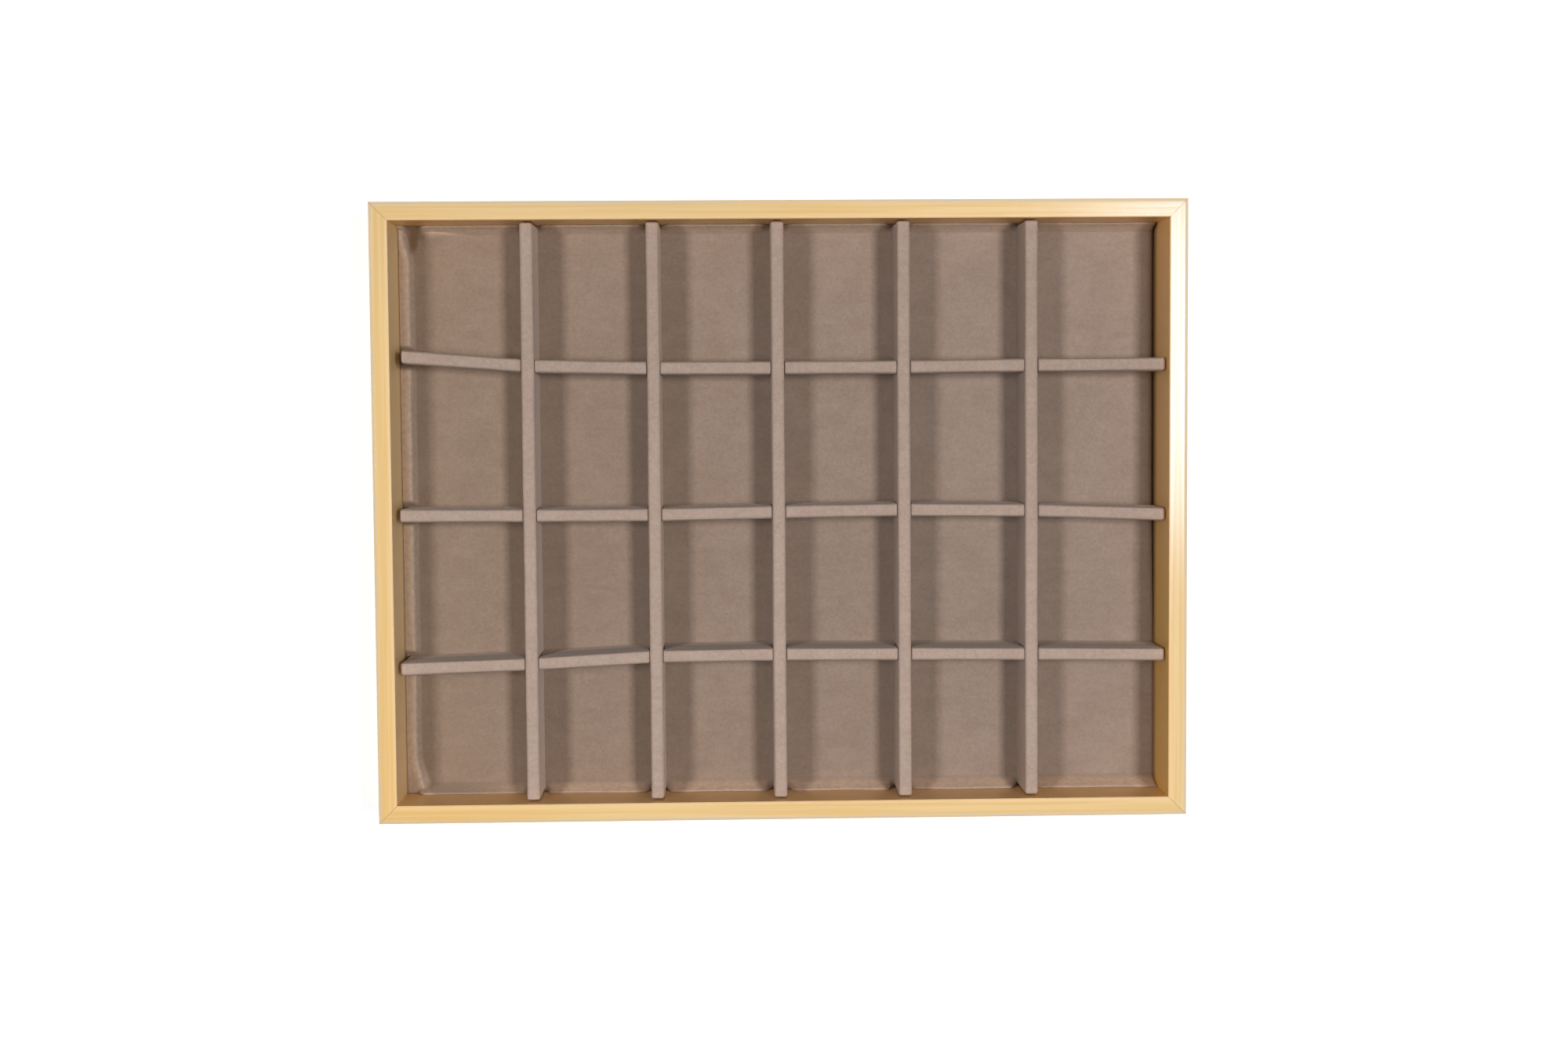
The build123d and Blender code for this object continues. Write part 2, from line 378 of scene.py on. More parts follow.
from_side = math_node(tree, "SUBTRACT", frame_half_depth, math_node(tree, "ABSOLUTE", where[1]))
inward = math_node(tree, "MINIMUM", from_end, from_side)
outward = math_node(tree, "SUBTRACT", rail_width, inward)
below_top = math_node(tree, "SUBTRACT", frame_height, where[2])
outer_way = total(tree, inward, below_top)
inner_way = total(tree, outward, below_top)
off_mitre = math_node(tree, "ABSOLUTE", math_node(tree, "SUBTRACT", from_end, from_side))
uneven = noise_node(tree, start["Position"], 90.0, detail=3.0)
uneven = map_range(tree, uneven, *noise_span, least_edge_share, 1.0)
feed(rail_seam_and_painted_light, end, {
    "Outer Edge": product(tree, map_range(tree, outer_way, *outer_edge_band, 1, 0), uneven),
    "Inner Edge": product(tree, map_range(tree, inner_way, *inner_highlight_band, 1, 0), uneven),
    "Seam": map_range(tree, off_mitre, seam_core, seam_width, 1, 0),
    "Inner Foot": product(
        tree, map_range(tree, inward, *foot_depth), map_range(tree, where[2], *foot_height, 1, 0)
    ),
})

# painted light and shade on the inner faces: painted light makes the left rail's inner face paler,
# and painted shade makes the right rail's deeper gold in its front half
gold_light = (0.88, 0.63, 0.31)
gold_deep = (0.82, 0.555, 0.235)
gold_side = (0.92, 0.59, 0.25)
gold_side_painted_light = (1.0, 0.78, 0.42)
gold_side_painted_shade = (0.89, 0.565, 0.165)
gold_painted_reflection = (0.66, 0.60, 0.48)
gold_painted_highlight = (0.97, 0.66, 0.38)
gold_painted_foot_shade = (0.42, 0.24, 0.10)
seam_colour = (0.50, 0.36, 0.19)
upright_span = (0.5, 0.9)
inner_side = (0.0, -0.1)
faces_right = (0.3, 0.9)
faces_left = (-0.3, -0.9)
front_half = (0.02, -0.05)
top_metallic = 0.75
side_metallic = 0.35
top_roughness = (0.10, 0.14)
patch_roughness = 0.03
edge_roughness = 0.10
side_roughness = 0.26
rail_turn = {"rail_front": 0, "rail_back": 0, "rail_left": 90, "rail_right": 90}
gold = {}
for turn, label in ((0, "gold_drawn_along_length"), (90, "gold_drawn_along_depth")):
    material, tree, shader, position = new_material(label)
    drawn = use_group(tree, drawn_metal, {"Position": mapped(tree, position, turn=radians(turn))})
    marks = use_group(tree, rail_seam_and_painted_light, {"Position": position})
    colour = blend_colour(tree, map_range(tree, drawn["Streaks"], *noise_span), gold_light, gold_deep)
    # painted grey reflection on the rounded outer top edge
    colour = blend_colour(tree, marks["Outer Edge"], colour, gold_painted_reflection)
    # painted highlight on the inner top edge
    colour = blend_colour(tree, marks["Inner Edge"], colour, gold_painted_highlight)
    colour = blend_colour(tree, marks["Seam"], colour, seam_colour)
    normal = separated(tree, coordinates(tree, "Normal"))
    where = separated(tree, position)
    upright = map_range(tree, math_node(tree, "ABSOLUTE", normal[2]), *upright_span, 1, 0)
    inner = map_range(tree, product(tree, normal[0], where[0]), *inner_side)
    left_face_painted_light = product(tree, inner, map_range(tree, normal[0], *faces_right))
    right_face = product(tree, inner, map_range(tree, normal[0], *faces_left))
    right_front_painted_shade = product(tree, right_face, map_range(tree, where[1], *front_half))
    # painted light on the left rail's inner face, painted shade on the front half of the right rail's
    side = blend_colour(tree, left_face_painted_light, gold_side, gold_side_painted_light)
    side = blend_colour(tree, right_front_painted_shade, side, gold_side_painted_shade)
    colour = blend_colour(tree, upright, colour, side)
    # painted shade at the foot of the inner faces
    colour = blend_colour(tree, marks["Inner Foot"], colour, gold_painted_foot_shade)
    rough = total(
        tree,
        map_range(tree, drawn["Lines"], *noise_span, *top_roughness, smooth=False),
        product(tree, drawn["Rubbing"], patch_roughness),
        product(tree, marks["Outer Edge"], edge_roughness),
        product(tree, upright, side_roughness),
    )
    finish_material(tree, shader, {
        "Base Color": colour,
        "Metallic": blend_value(tree, upright, top_metallic, side_metallic),
        "Roughness": rough,
        "Normal": bumped(tree, drawn["Lines"], strength=0.25, depth=0.00002),
    })
    gold[turn] = material
for name, turn in rail_turn.items():
    nodes[name].material_slots[0].material = gold[turn]


# Corner keys and screws
# A die-cast angle sits in each corner of the hollow rails. Two countersunk screws from below draw
# the mitre shut against it. The castings are plain grey, the screws are zinc plated.
cast_light = (0.56, 0.57, 0.58)
cast_dark = (0.38, 0.385, 0.39)
cast_roughness = (0.42, 0.6)
material, tree, shader, position = new_material("cast_key")
grain = noise_node(tree, position, 900.0, detail=3.0)
clouds = noise_node(tree, position, 120.0, detail=4.0)
finish_material(tree, shader, {
    "Base Color": blend_colour(tree, map_range(tree, clouds, *cloud_span), cast_light, cast_dark),
    "Roughness": map_range(tree, grain, *noise_span, *cast_roughness),
    "Normal": bumped(tree, grain, strength=0.35, depth=0.00008),
}, Metallic=1.0)
for name in ("front_left", "front_right", "back_right", "back_left"):
    nodes[f"corner_key_{name}"].material_slots[0].material = material

zinc_light = (0.66, 0.67, 0.68)
zinc_dark = (0.47, 0.48, 0.50)
zinc_spots = (0.4, 0.7)
zinc_roughness = (0.24, 0.38)
material, tree, shader, position = new_material("zinc_screw")
drawn = use_group(tree, drawn_metal, {"Position": position, "Line Width": 0.0002, "Line Length": 0.0012})
spots = noise_node(tree, position, 700.0, detail=3.0)
finish_material(tree, shader, {
    "Base Color": blend_colour(tree, map_range(tree, spots, *zinc_spots), zinc_light, zinc_dark),
    "Roughness": map_range(tree, drawn["Lines"], *noise_span, *zinc_roughness),
    "Normal": bumped(tree, drawn["Lines"], strength=0.3, depth=0.00002),
}, Metallic=1.0)
nodes["corner_screws"].material_slots[0].material = material


# Base panel
# A sheet of brown fibreboard, 3 mm thick, in the groove of the rails. Short wood fibres lie
# pressed in every direction in its smooth face.
fibre_turns = (20, 80, 140)
fibre_shape = (0.16, 1.0, 1.0)
fleck_span = (0.5, 0.78)
pressed_fibre, start, end = shader_group(
    "pressed_fibre",
    {"Position": ("Vector", None), "Fibre Size": ("Float", 0.0006)},
    {"Fleck": "Float", "Cloud": "Float"},
)
tree = pressed_fibre
fibre_scale = math_node(tree, "DIVIDE", 1.0, start["Fibre Size"])
layers = []
for turn in fibre_turns:
    laid = mapped(tree, mapped(tree, start["Position"], turn=radians(turn)), scale=fibre_shape)
    layers.append(noise_node(tree, laid, fibre_scale, detail=1.0))
longest = math_node(tree, "MAXIMUM", math_node(tree, "MAXIMUM", layers[0], layers[1]), layers[2])
feed(pressed_fibre, end, {
    "Fleck": map_range(tree, longest, *fleck_span),
    "Cloud": noise_node(tree, start["Position"], 26.0, detail=4.0),
})


def pressed_board(name, size, light, dark, fleck, fleck_share, roughness, strength, depth):
    """A material of pressed fibre with its own colours."""
    material, tree, shader, position = new_material(name)
    fibre = use_group(tree, pressed_fibre, {"Position": position, "Fibre Size": size})
    colour = blend_colour(tree, map_range(tree, fibre["Cloud"], *cloud_span), light, dark)
    finish_material(tree, shader, {
        "Base Color": blend_colour(tree, product(tree, fibre["Fleck"], fleck_share), colour, fleck),
        "Roughness": map_range(tree, fibre["Fleck"], 0, 1, *roughness),
        "Normal": bumped(tree, fibre["Fleck"], strength, depth),
    })
    return material


nodes["base_panel"].material_slots[0].material = pressed_board(
    "brown_fibreboard",
    size=0.0007,
    light=(0.235, 0.142, 0.078),
    dark=(0.205, 0.122, 0.066),
    fleck=(0.36, 0.235, 0.14),
    fleck_share=0.5,
    roughness=(0.5, 0.68),
    strength=0.3,
    depth=0.00005,
)


# Floor card and the card in the dividers
# Dense grey card, 2 mm thick under the floor and 5 mm thick in the dividers. It shows only from
# below and at its cut edges, when the floor or a divider is lifted out.
long_count = 5
cross_rows = ("front", "middle", "back")
card_nodes = ["floor_board"]
card_nodes += [f"cross_board_{row}" for row in cross_rows]
card_nodes += [f"long_board_{number}" for number in range(1, long_count + 1)]
card = pressed_board(
    "grey_card",
    size=0.0004,
    light=(0.40, 0.385, 0.36),
    dark=(0.30, 0.285, 0.265),
    fleck=(0.56, 0.54, 0.50),
    fleck_share=0.6,
    roughness=(0.82, 0.95),
    strength=0.4,
    depth=0.00006,
)
for name in card_nodes:
    nodes[name].material_slots[0].material = card


# Floor suede
# One sheet of taupe microsuede, cut too large and pushed to the left. Its edge curls up at the left
# wall and is turned up at the front and back walls. It leans off the left wall in front, is creased
# in the back left corner, and lies flat under the dividers. A painted highlight lies on the crest of
# the curl, painted warm light lies along the walls, and painted shade lies in the crease and along
# the right edge.
def eased(value, low, high):
    """0 below the low value, 1 above the high one, and smooth between them."""
    share = min(max((value - low) / (high - low), 0.0), 1.0)
    return share * share * (3 - 2 * share)


def hump(value, low, middle, high):
    """Rises from the low value to the middle one and falls again to the high one."""
    return eased(value, low, middle) * (1 - eased(value, middle, high))


def spread(stops, step):
    """Places from the first stop to the last, through each stop, at most a step apart."""
    places = [stops[0]]
    for a, b in zip(stops[:-1], stops[1:]):
        count = max(1, ceil((b - a) / step - 0.01))
        places += [a + (b - a) * (i + 1) / count for i in range(count)]
    return places


def wavy(*waves):
    """Smooth noise from -1 to 1, for places that are given in waves."""
    return noise.noise(Vector(waves))


def middle_at(node, x):
    """How far back the middle of a cross divider lies at one place along the tray."""
    places = node.data.vertices
    cut = []
    for edge in node.data.edges:
        a, b = (places[i].co for i in edge.vertices)
        if (a.x - x) * (b.x - x) <= 0 and a.x != b.x:
            cut.append(a.y + (b.y - a.y) * (x - a.x) / (b.x - a.x))
    return (min(cut) + max(cut)) / 2


floor_low, floor_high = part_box("floor_suede")
board_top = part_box("floor_board")[1].z
long_boxes = [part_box(f"long_cover_{number}") for number in range(1, long_count + 1)]
long_middles = [(low.x + high.x) / 2 for low, high in long_boxes]
divider_low = long_boxes[0][0].z
divider_high = long_boxes[0][1].z
half_width = (long_boxes[0][1].x - long_boxes[0][0].x) / 2
end_inset = 0.00005
cross_lines = {}
for row in cross_rows:
    cover = nodes[f"cross_cover_{row}"]
    low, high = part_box(f"cross_cover_{row}")
    stations = [low.x + end_inset, *long_middles, high.x - end_inset]
    cross_lines[row] = [(x, middle_at(cover, x)) for x in stations]


def cross_middle(row, x):
    """The middle line of one cross divider, which bends at its slots."""
    line = cross_lines[row]
    for (x0, y0), (x1, y1) in zip(line[:-1], line[1:]):
        if x <= x1:
            break
    return y0 + (y1 - y0) * (x - x0) / (x1 - x0)


def room_by_cross(x, y):
    """How far a place lies from the nearest middle line of a cross divider."""
    return min(abs(y - cross_middle(row, x)) for row in cross_rows)


def room_by_long(x):
    """How far a place lies from the nearest middle line of a long divider."""
    return min(abs(x - middle) for middle in long_middles)


pressed_width = 0.0004


def free_of(room, reach):
    """0 where a divider presses on the suede, and 1 at some distance from its side."""
    return eased(room - half_width, pressed_width, reach)


wall_left = side_high.x
wall_front = rail_high.y
wall_back = -wall_front
suede_thickness = 0.0009
nap_lift = 0.0004
nap_reach = 0.006
divider_press = 0.0032

# the curl at the left wall, which leans in at the front and hugs the wall at the back
curl_height = 0.0044
curl_crest = 0.0050
curl_foot = 0.0075
curl_cut = 0.7
curl_wander = 0.0004
curl_unevenness = 0.12
curl_bead = 0.0037
bead_growth = 0.5
lean_reach = 0.005
lean_from = 0.131
lean_bend = 1.3
hug_reach = 0.0034
hug_zone = (0.130, 0.1465)
pale_upright = 0.84
pale_lean = (0.001, 0.003)
warm_upright = 0.6
warm_leaning = 0.25
warm_lean = (0.0005, 0.003)
warm_bead = 0.6
warm_past = 0.0006


def left_curl(x, y):
    """The curl at the left wall: its height and its shares of painted highlight and painted warm light.
    """
    lean = lean_reach * max(0.0, (-y - lean_from) / (wall_back - lean_from)) ** lean_bend
    hug = hug_reach * eased(y, *hug_zone)
    wander = curl_wander * wavy(3.1, y * 38, 0.4)
    from_left = x - wall_left - lean + hug - wander
    free = free_of(room_by_cross(x, y), divider_press)
    if from_left >= curl_crest:
        share = 1 - eased(from_left, curl_crest, curl_foot)
    else:
        share = curl_cut + (1 - curl_cut) * eased(from_left, 0.0, curl_crest)
    uneven = 1 + curl_unevenness * wavy(y * 55, 7.7, 0.0)
    bead = curl_bead + bead_growth * lean
    # painted highlight along the crest of the curl
    pale = pale_upright + (1 - pale_upright) * eased(lean, *pale_lean)
    pale *= free * hump(from_left, curl_crest - bead, curl_crest, curl_crest + bead)
    # painted warm light between the crest and the wall
    warm = warm_upright + (warm_leaning - warm_upright) * eased(lean, *warm_lean)
    warm *= free * (1 - eased(from_left, curl_crest - warm_bead * bead, curl_crest + warm_past))
    return curl_height * share * free * uneven, pale, warm


# the edges turned up at the front and back walls, and the loose edge at the right wall, with
# painted warm light along the walls and painted shade along the right edge
front_rise = (0.0085, 0.0115)
front_foot = 0.006
front_rim = (0.3, 1.0)
front_warm = (0.0024, 0.0061)
back_rise = 0.0085
back_foot = 0.005
back_rim = (0.3, 0.6)
back_warm = (0.0021, 0.0056)
rim_width = (0.0005, 0.0014)
edge_steepness = 1.7
edge_unevenness = 0.14
corner_gap = (0.002, 0.010)
corner_dark = 0.2
corner_zone = (0.025, 0.075)
right_free = 0.150
right_touch = (-0.105, 0.035)
right_warm = 0.4
right_rim = (0.0002, 0.0014)
right_painted_shade = 0.75
right_shadow = (0.0004, 0.0036)


def turned_up(distance, foot):
    """The section of a turned-up edge: its cut edge at the wall, a steep part and a flat foot."""
    return min(1.0, max(0.0, (foot - distance) / (foot - suede_thickness))) ** edge_steepness


def warm_band(distance, rim, reach):
    """The share of painted warm light along a wall: less at the cut edge itself and none on the floor.
    """
    share = rim[0] + (rim[1] - rim[0]) * eased(distance, *rim_width)
    return share * (1 - eased(distance, *reach))


# the back left corner: a low fold beside a deep crease that narrows to a tip; painted shade in it
fold_height = 0.0034
fold_depth = (0.0, 0.0045, 0.012)
fold_length = (0.0105, 0.016, 0.036)
wedge_middle = 0.0076
wedge_slant = 0.0012
wedge_tip = 0.0165
wedge_half = 0.0046
wedge_blur = 0.0016
wedge_core = 0.2
wedge_start = (0.0, 0.4)
wedge_end = (0.6, 1.0)
wedge_fade = 0.35


def corner_crease(x, from_back):
    """The share of crease, and of painted shade in it, at one place."""
    share = 1 - from_back / wedge_tip
    if share <= 0:
        return 0.0
    aside = abs(x - wall_left - wedge_middle - wedge_slant * (share - 0.5))
    reach = wedge_half * share + wedge_blur
    crease_and_painted_shade = eased(share, *wedge_start) * (1 - wedge_fade * eased(share, *wedge_end))
    return crease_and_painted_shade * (1 - eased(aside, wedge_core * reach, reach))


def floor_surface(x, y):
    """The height of the suede's face, and its shares of painted highlight, painted warm light and
    painted shade.
    """
    left, pale, warm = left_curl(x, y)
    from_left = x - wall_left
    from_right = floor_high.x - x
    from_front = y - wall_front
    from_back = wall_back - y
    along = (x - floor_low.x) / (floor_high.x - floor_low.x)
    apart = free_of(room_by_long(x), divider_press)
    wave = 1 + edge_unevenness * wavy(x * 48, 2.2, 5.0)
    off_wall = eased(from_left, *corner_gap)
    rise = front_rise[0] + (front_rise[1] - front_rise[0]) * along
    front = rise * turned_up(from_front, front_foot) * apart * wave * off_wall
    back = back_rise * turned_up(from_back, back_foot) * apart * wave
    lit = corner_dark + (1 - corner_dark) * eased(from_left, *corner_zone)
    touching = 1 - eased(y, *right_touch)
    # painted warm light along the front, back and right walls, less near the front left corner
    warm = max(
        warm,
        lit * apart * off_wall * warm_band(from_front, front_rim, front_warm),
        apart * warm_band(from_back, back_rim, back_warm),
        right_warm * touching * (1 - eased(from_right, *right_rim)),
    )
    fold = fold_height * hump(from_back, *fold_depth) * hump(from_left, *fold_length)
    # painted shade in the back left crease, and along the right edge where it lies off the wall
    crease_and_painted_shade = corner_crease(x, from_back)
    shade = right_painted_shade * (1 - touching) * (1 - eased(from_right, *right_shadow))
    soft = 0.5 + 0.5 * wavy(x * 24, y * 24, 1.3)
    height = max(left, front, back * (1 - crease_and_painted_shade), fold)
    height += nap_lift * soft * free_of(min(room_by_long(x), room_by_cross(x, y)), nap_reach)
    return height, pale * (1 - crease_and_painted_shade), warm * (1 - crease_and_painted_shade), max(crease_and_painted_shade, shade)


fine_step = 0.0004
lean_step = 0.0007
wide_step = 0.0022
press_step = 0.0009
open_step = 0.0018
press_length = 0.02
left_stop = -0.150
zone_margin = 0.001
wall_room = 0.0001
curl_end = wall_left + curl_foot + 2 * zone_margin
lean_end = wall_left + lean_reach + curl_foot + zone_margin
front_end = wall_front + front_foot + zone_margin
back_end = wall_back - back_foot - zone_margin
columns = spread([wall_left + wall_room, curl_end], fine_step)
columns += spread([curl_end, lean_end], lean_step)[1:]
columns += spread([lean_end, left_stop, floor_high.x], wide_step)[1:]
row_stops = [front_end]
for row in cross_rows:
    for side in (-1, 1):
        row_stops.append(cross_lines[row][0][1] + side * (half_width + divider_press + zone_margin))
row_stops.append(back_end)
rows = spread([wall_front + wall_room, front_end], fine_step)
for a, b in zip(row_stops[:-1], row_stops[1:]):
    rows += spread([a, b], press_step if b - a < press_length else open_step)[1:]
rows += spread([back_end, wall_back - wall_room], fine_step)[1:]
floor_mesh = bpy.data.meshes.new("floor_sheet")
places = []
shares = {"painted_highlight": [], "painted_warm_light": [], "crease_and_painted_shade": []}
face_height = suede_thickness + board_top
right_room = -wall_left - wall_room - floor_high.x
for y in rows:
    for x in columns:
        height, *masks = floor_surface(x, y)
        pushed = right_room * eased(x, right_free, floor_high.x) * (1 - eased(y, *right_touch))
        places.append((x + pushed, y, face_height + height))
        for values, share in zip(shares.values(), masks):
            values.append(share)
wide = len(columns)
faces = []
for j in range(len(rows) - 1):
    for i in range(wide - 1):
        first = j * wide + i
        faces.append((first, first + 1, first + wide + 1, first + wide))
floor_mesh.from_pydata(places, [], faces)
for label, values in shares.items():
    layer = floor_mesh.attributes.new(label, "FLOAT", "POINT")
    layer.data.foreach_set("value", values)
floor_mesh.polygons.foreach_set("use_smooth", [True] * len(faces))
floor_sheet = bpy.data.objects.new("floor_sheet", floor_mesh)
scene.collection.objects.link(floor_sheet)


def with_modifiers(piece):
    """Puts the result of a piece's modifiers in its mesh."""
    graph = bpy.context.evaluated_depsgraph_get()
    made = bpy.data.meshes.new_from_object(piece.evaluated_get(graph))
    piece.modifiers.clear()
    piece.data = made


solid = floor_sheet.modifiers.new("cloth thickness", "SOLIDIFY")
solid.thickness = suede_thickness
solid.offset = -1.0
with_modifiers(floor_sheet)


def grey(tree, value):
    """A grey of one value."""
    return place(tree, "ShaderNodeCombineColor", {0: value, 1: value, 2: value}).outputs[0]


# short nap: patches where the nap lies the other way, finger marks and fine fibre
stroke_turn = 0.42
stroke_scale = (60, 260, 160)
stroke_share = 0.35
tuft_share = 0.4
lie_span = (0.36, 0.64)
speck_shade = (0.84, 1.16)
nap_roughness = (0.84, 0.98)
short_nap, start, end = shader_group(
    "short_nap",
    {
        "Position": ("Vector", None),
        "Nap Colour": ("Color", (0.4, 0.3, 0.25)),
        "Brushed Colour": ("Color", (0.3, 0.22, 0.18)),
        "Patch Size": ("Float", 0.02),
        "Patch Strength": ("Float", 0.5),
    },
    {"Colour": "Color", "Roughness": "Float", "Height": "Float"},
)
tree = short_nap
patch_scale = math_node(tree, "DIVIDE", 1.0, start["Patch Size"])
patch = noise_node(tree, start["Position"], patch_scale, detail=5.0, roughness=0.62, distortion=0.9)
stroke_place = mapped(tree, start["Position"], turn=stroke_turn, scale=stroke_scale)
stroke = noise_node(tree, stroke_place, 1.0, detail=3.0, roughness=0.6)
fibre = noise_node(tree, start["Position"], 1700.0, detail=3.0, roughness=0.7)
tuft = noise_node(tree, start["Position"], 520.0, detail=2.0, roughness=0.6)
tone_shift = total(tree, product(tree, patch, 1 - stroke_share), product(tree, stroke, stroke_share))
tone_shift = product(tree, map_range(tree, tone_shift, *lie_span), start["Patch Strength"])
colour = blend_colour(tree, tone_shift, start["Nap Colour"], start["Brushed Colour"])
speck = total(tree, product(tree, fibre, 1 - tuft_share), product(tree, tuft, tuft_share))
shade = map_range(tree, speck, *noise_span, *speck_shade, smooth=False)
feed(short_nap, end, {
    "Colour": blend_colour(tree, 1.0, colour, grey(tree, shade), blend_type="MULTIPLY"),
    "Roughness": map_range(tree, tuft, *noise_span, *nap_roughness),
    "Height": speck,
})


def finish_suede(tree, shader, colour, nap):
    """Gives a suede material its colour, relief and soft sheen."""
    finish_material(
        tree,
        shader,
        {
            "Base Color": colour,
            "Roughness": nap["Roughness"],
            "Normal": bumped(tree, nap["Height"], strength=0.6, depth=0.00018),
        },
        Specular_IOR_Level=0.15,
        Sheen_Weight=0.25,
        Sheen_Roughness=0.5,
        Sheen_Tint=(0.9, 0.8, 0.72, 1.0),
    )


floor_taupe = (0.303, 0.227, 0.182)
floor_brushed = (0.268, 0.197, 0.156)
left_painted_light = (1.0, 0.965, 0.90)
right_painted_light = (1.11, 1.135, 1.165)
painted_light_span = (-0.19, 0.19)
painted_highlight_colour = (0.66, 0.51, 0.41)
painted_warm_light_colour = (0.68, 0.475, 0.335)
least_painted_light = 0.65
painted_crease_shade = (0.15, 0.085, 0.038)
crease_shade_strength = 0.8
suede_floor, tree, shader, position = new_material("suede_floor")
nap = use_group(tree, short_nap, {
    "Position": position,
    "Nap Colour": floor_taupe,
    "Brushed Colour": floor_brushed,
    "Patch Size": 0.022,
    "Patch Strength": 0.8,
})
where = separated(tree, position)
# painted light across the floor: warmer at the left wall and brighter towards the right
floor_painted_light = blend_colour(tree, map_range(tree, where[0], *painted_light_span, smooth=False), left_painted_light, right_painted_light)
colour = blend_colour(tree, 1.0, nap["Colour"], floor_painted_light, blend_type="MULTIPLY")
painted_light_breakup = noise_node(tree, position, 420.0, detail=3.0)
painted_light_breakup = map_range(tree, painted_light_breakup, *noise_span, least_painted_light, 1.0)
# painted warm light along the walls and a painted highlight on the crest, both broken up by noise
for label, edge_colour in (("painted_warm_light", painted_warm_light_colour), ("painted_highlight", painted_highlight_colour)):
    edge = place(tree, "ShaderNodeAttribute", attribute_name=label).outputs["Fac"]
    edge = math_node(tree, "MULTIPLY", edge, painted_light_breakup, clamp=True)
    colour = blend_colour(tree, edge, colour, edge_colour)
# painted shade in the back left crease and along the right edge
crease_and_painted_shade = place(tree, "ShaderNodeAttribute", attribute_name="crease_and_painted_shade").outputs["Fac"]
colour = blend_colour(tree, product(tree, crease_and_painted_shade, crease_shade_strength), colour, painted_crease_shade)
finish_suede(tree, shader, colour, nap)
floor_sheet.data.materials.append(suede_floor)
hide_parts("floor_suede")
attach(floor_sheet, "floor_lining")


# Cross dividers
# Three strips of card that run from side to side, each in a glued wrap of paler suede. The wrap
# goes over the top and the ends and is turned in at the slots, which are cut from above. The
# strips bend at their slots, so their rows aren't straight.
def shifted(value, marks, moved):
    """Follows a value when the marks that it lies between move."""
    for (a, b), (c, d) in zip(zip(marks[:-1], marks[1:]), zip(moved[:-1], moved[1:])):
        if value <= b:
            break
    return c + (d - c) * (value - a) / (b - a)


def rounded_away(offset, radii):
    """Pulls a point of a sharp block onto a block with rounded edges."""
    reach = Vector([part / radius for part, radius in zip(offset, radii)]).length
    return offset / reach if reach > 1 else offset


wrap_thickness = 0.0009
wrap_round = 0.0018
end_round = 0.0013
wrap_swell = 0.0001
wrap_sway = 0.00016
top_sag = 0.00025
sag_depth = 0.004
slot_half = 0.00358
slot_round = 0.0006
slot_turn = (0.0005, 0.005)
edge_steps = (0.0, 0.22, 0.5, 0.78, 1.0)
length_step = 0.0022
height_step = 0.0042
hair = 1e-7
sharp_edge = 48


